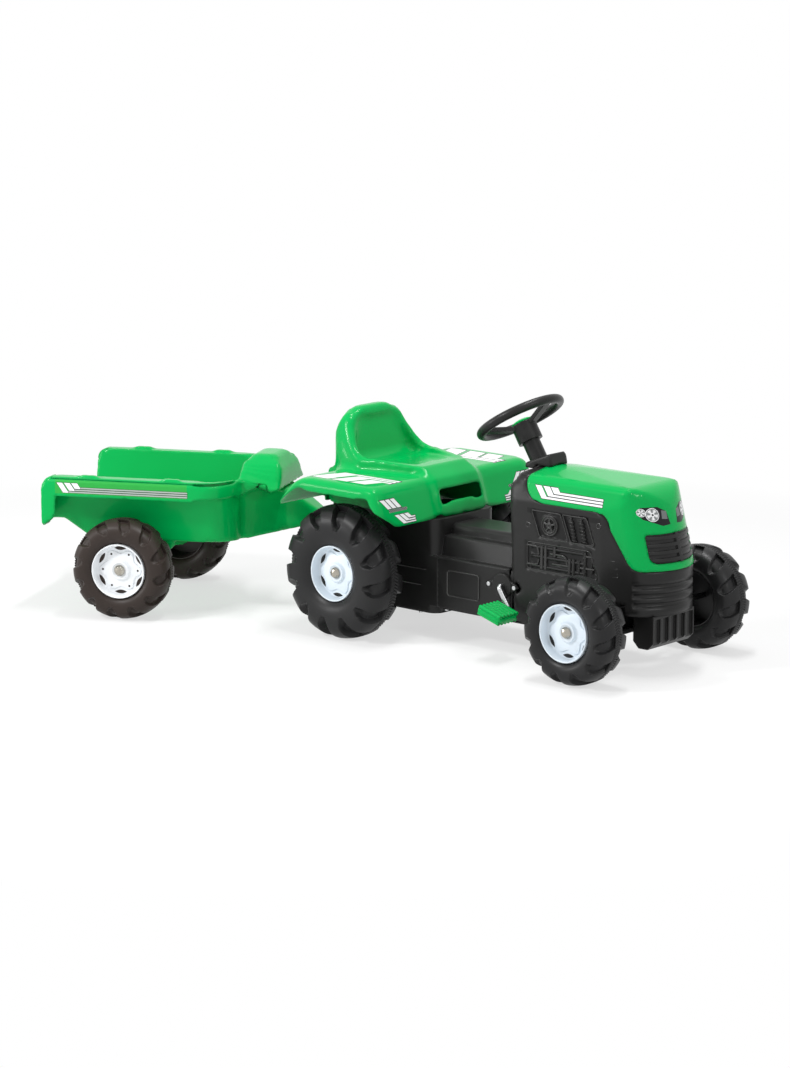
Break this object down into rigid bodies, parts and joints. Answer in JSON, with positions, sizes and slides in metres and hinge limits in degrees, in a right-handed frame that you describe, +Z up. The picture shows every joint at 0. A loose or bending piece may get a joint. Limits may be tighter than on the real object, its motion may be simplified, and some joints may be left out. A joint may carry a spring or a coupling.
{
  "type": "pedal tractor with trailer",
  "caption": "Child's pedal tractor with a moulded bonnet, lugged tyres, chain-driven pedals and linked steering, towing an open trailer on a drop-pin hitch.",
  "frame": {"origin": "middle of the footprint, on the ground, with the front wheels straight and the trailer swung 27 degrees to the right", "axes": "+X forward along the tractor, +Y to its left, +Z up"},
  "size_m": [1.6006, 0.744, 0.5454],
  "materials": {
    "green_shell": "gloss",
    "dark_shell": "satin",
    "tyre_plastic": "satin",
    "trailer_tyre_plastic": "satin",
    "white_rim": "satin",
    "bright_cap": "polished",
    "bright_steel": "satin",
    "zinc_screw": "satin",
    "chain_steel": "satin"
  },
  "bodies": {
    "chassis": {"axle_beam_screws": "zinc_screw", "axle_cover": "dark_shell", "bearing_screws": "zinc_screw", "bonnet": "green_shell", "chain_cover": "dark_shell", "chassis_shell": "dark_shell", "cover_screws": "zinc_screw", "crank_bearing_left": "dark_shell", "crank_bearing_right": "dark_shell", "drive_chain": "chain_steel", "front_axle_beam": "dark_shell", "front_weight_block": "dark_shell", "hitch_pin": "bright_steel", "hitch_screws": "zinc_screw", "kingpins": "bright_steel", "knee_tunnel": "dark_shell", "radiator_grille": "dark_shell", "rear_axle_bushes": "dark_shell", "seat_box": "dark_shell", "seat_screws": "zinc_screw", "seat_shell": "green_shell", "steering_column": "dark_shell", "steering_cowl": "dark_shell", "tow_hitch": "dark_shell"},
    "steering": {"steering_wheel": "dark_shell", "steering_wheel_cap": "green_shell", "steering_shaft": "bright_steel"},
    "knuckle_left": {"steering_knuckle_left": "dark_shell", "front_axle_cap_left": "bright_cap"},
    "knuckle_right": {"steering_knuckle_right": "dark_shell", "front_axle_cap_right": "bright_cap"},
    "cross_link": {"steering_link": "dark_shell"},
    "front_wheel_left": {"front_tyre_left": "tyre_plastic", "front_rim_left": "white_rim"},
    "front_wheel_right": {"front_tyre_right": "tyre_plastic", "front_rim_right": "white_rim"},
    "rear_axle_set": {"rear_axle": "bright_steel", "axle_sprocket": "chain_steel", "rear_tyre_right": "tyre_plastic", "rear_rim_right": "white_rim", "rear_axle_cap_left": "bright_cap", "rear_axle_cap_right": "bright_cap"},
    "rear_wheel_left": {"rear_tyre_left": "tyre_plastic", "rear_rim_left": "white_rim"},
    "crank_set": {"pedal_crank": "bright_steel", "crank_sprocket": "chain_steel"},
    "left_pedal": {"pedal_left": "green_shell"},
    "right_pedal": {"pedal_right": "green_shell"},
    "trailer": {"trailer_tub": "green_shell", "trailer_axle": "bright_steel", "trailer_axle_cap_left": "bright_cap", "trailer_axle_cap_right": "bright_cap"},
    "trailer_wheel_left": {"trailer_tyre_left": "trailer_tyre_plastic", "trailer_rim_left": "white_rim"},
    "trailer_wheel_right": {"trailer_tyre_right": "trailer_tyre_plastic", "trailer_rim_right": "white_rim"}
  },
  "joints": [
    {"name": "steering_turn", "type": "hinge", "parent": "chassis", "child": "steering", "pos_m": [0.36729, 0.10846, 0.488], "axis": [-0.527, 0, 0.8499], "range_deg": [-30, 30]},
    {"name": "knuckle_left_swivel", "type": "hinge", "parent": "chassis", "child": "knuckle_left", "pos_m": [0.68829, 0.24846, 0.112], "axis": [0, 0, 1], "range_deg": [-30, 30]},
    {"name": "knuckle_right_swivel", "type": "hinge", "parent": "chassis", "child": "knuckle_right", "pos_m": [0.68829, -0.03154, 0.112], "axis": [0, 0, 1], "range_deg": [-30, 30]},
    {"name": "cross_link_pivot", "type": "hinge", "parent": "knuckle_right", "child": "cross_link", "pos_m": [0.64329, -0.03154, 0.112], "axis": [0, 0, 1], "range_deg": [-30, 30]},
    {"name": "front_wheel_left_spin", "type": "hinge", "parent": "knuckle_left", "child": "front_wheel_left", "pos_m": [0.68829, 0.32246, 0.112], "axis": [0, 1, 0], "continuous": true},
    {"name": "front_wheel_right_spin", "type": "hinge", "parent": "knuckle_right", "child": "front_wheel_right", "pos_m": [0.68829, -0.10554, 0.112], "axis": [0, 1, 0], "continuous": true},
    {"name": "rear_axle_spin", "type": "hinge", "parent": "chassis", "child": "rear_axle_set", "pos_m": [0.05629, 0.10846, 0.146], "axis": [0, 1, 0], "continuous": true, "deforming": ["drive_chain"]},
    {"name": "rear_wheel_left_spin", "type": "hinge", "parent": "chassis", "child": "rear_wheel_left", "pos_m": [0.05629, 0.32246, 0.146], "axis": [0, 1, 0], "continuous": true},
    {"name": "crank_spin", "type": "hinge", "parent": "chassis", "child": "crank_set", "pos_m": [0.40529, 0.10846, 0.146], "axis": [0, 1, 0], "continuous": true},
    {"name": "left_pedal_spin", "type": "hinge", "parent": "crank_set", "child": "left_pedal", "pos_m": [0.37588, 0.26221, 0.19129], "axis": [0, 1, 0], "continuous": true},
    {"name": "right_pedal_spin", "type": "hinge", "parent": "crank_set", "child": "right_pedal", "pos_m": [0.4347, -0.04529, 0.10071], "axis": [0, 1, 0], "continuous": true},
    {"name": "hitch_yaw", "type": "hinge", "parent": "chassis", "child": "trailer", "pos_m": [-0.12671, 0.10846, 0.208], "axis": [0, 0, 1], "range_deg": [-72, 18]},
    {"name": "trailer_wheel_left_spin", "type": "hinge", "parent": "trailer", "child": "trailer_wheel_left", "pos_m": [-0.63014, 0.08988, 0.112], "axis": [-0.454, 0.891, 0], "continuous": true},
    {"name": "trailer_wheel_right_spin", "type": "hinge", "parent": "trailer", "child": "trailer_wheel_right", "pos_m": [-0.43765, -0.28791, 0.112], "axis": [-0.454, 0.891, 0], "continuous": true}
  ],
  "couplings": [
    {"joint": "knuckle_left_swivel", "follows": "steering_turn", "ratio": 1},
    {"joint": "knuckle_right_swivel", "follows": "steering_turn", "ratio": 1},
    {"joint": "cross_link_pivot", "follows": "steering_turn", "ratio": -1},
    {"joint": "crank_spin", "follows": "rear_axle_spin", "ratio": 0.6667}
  ]
}
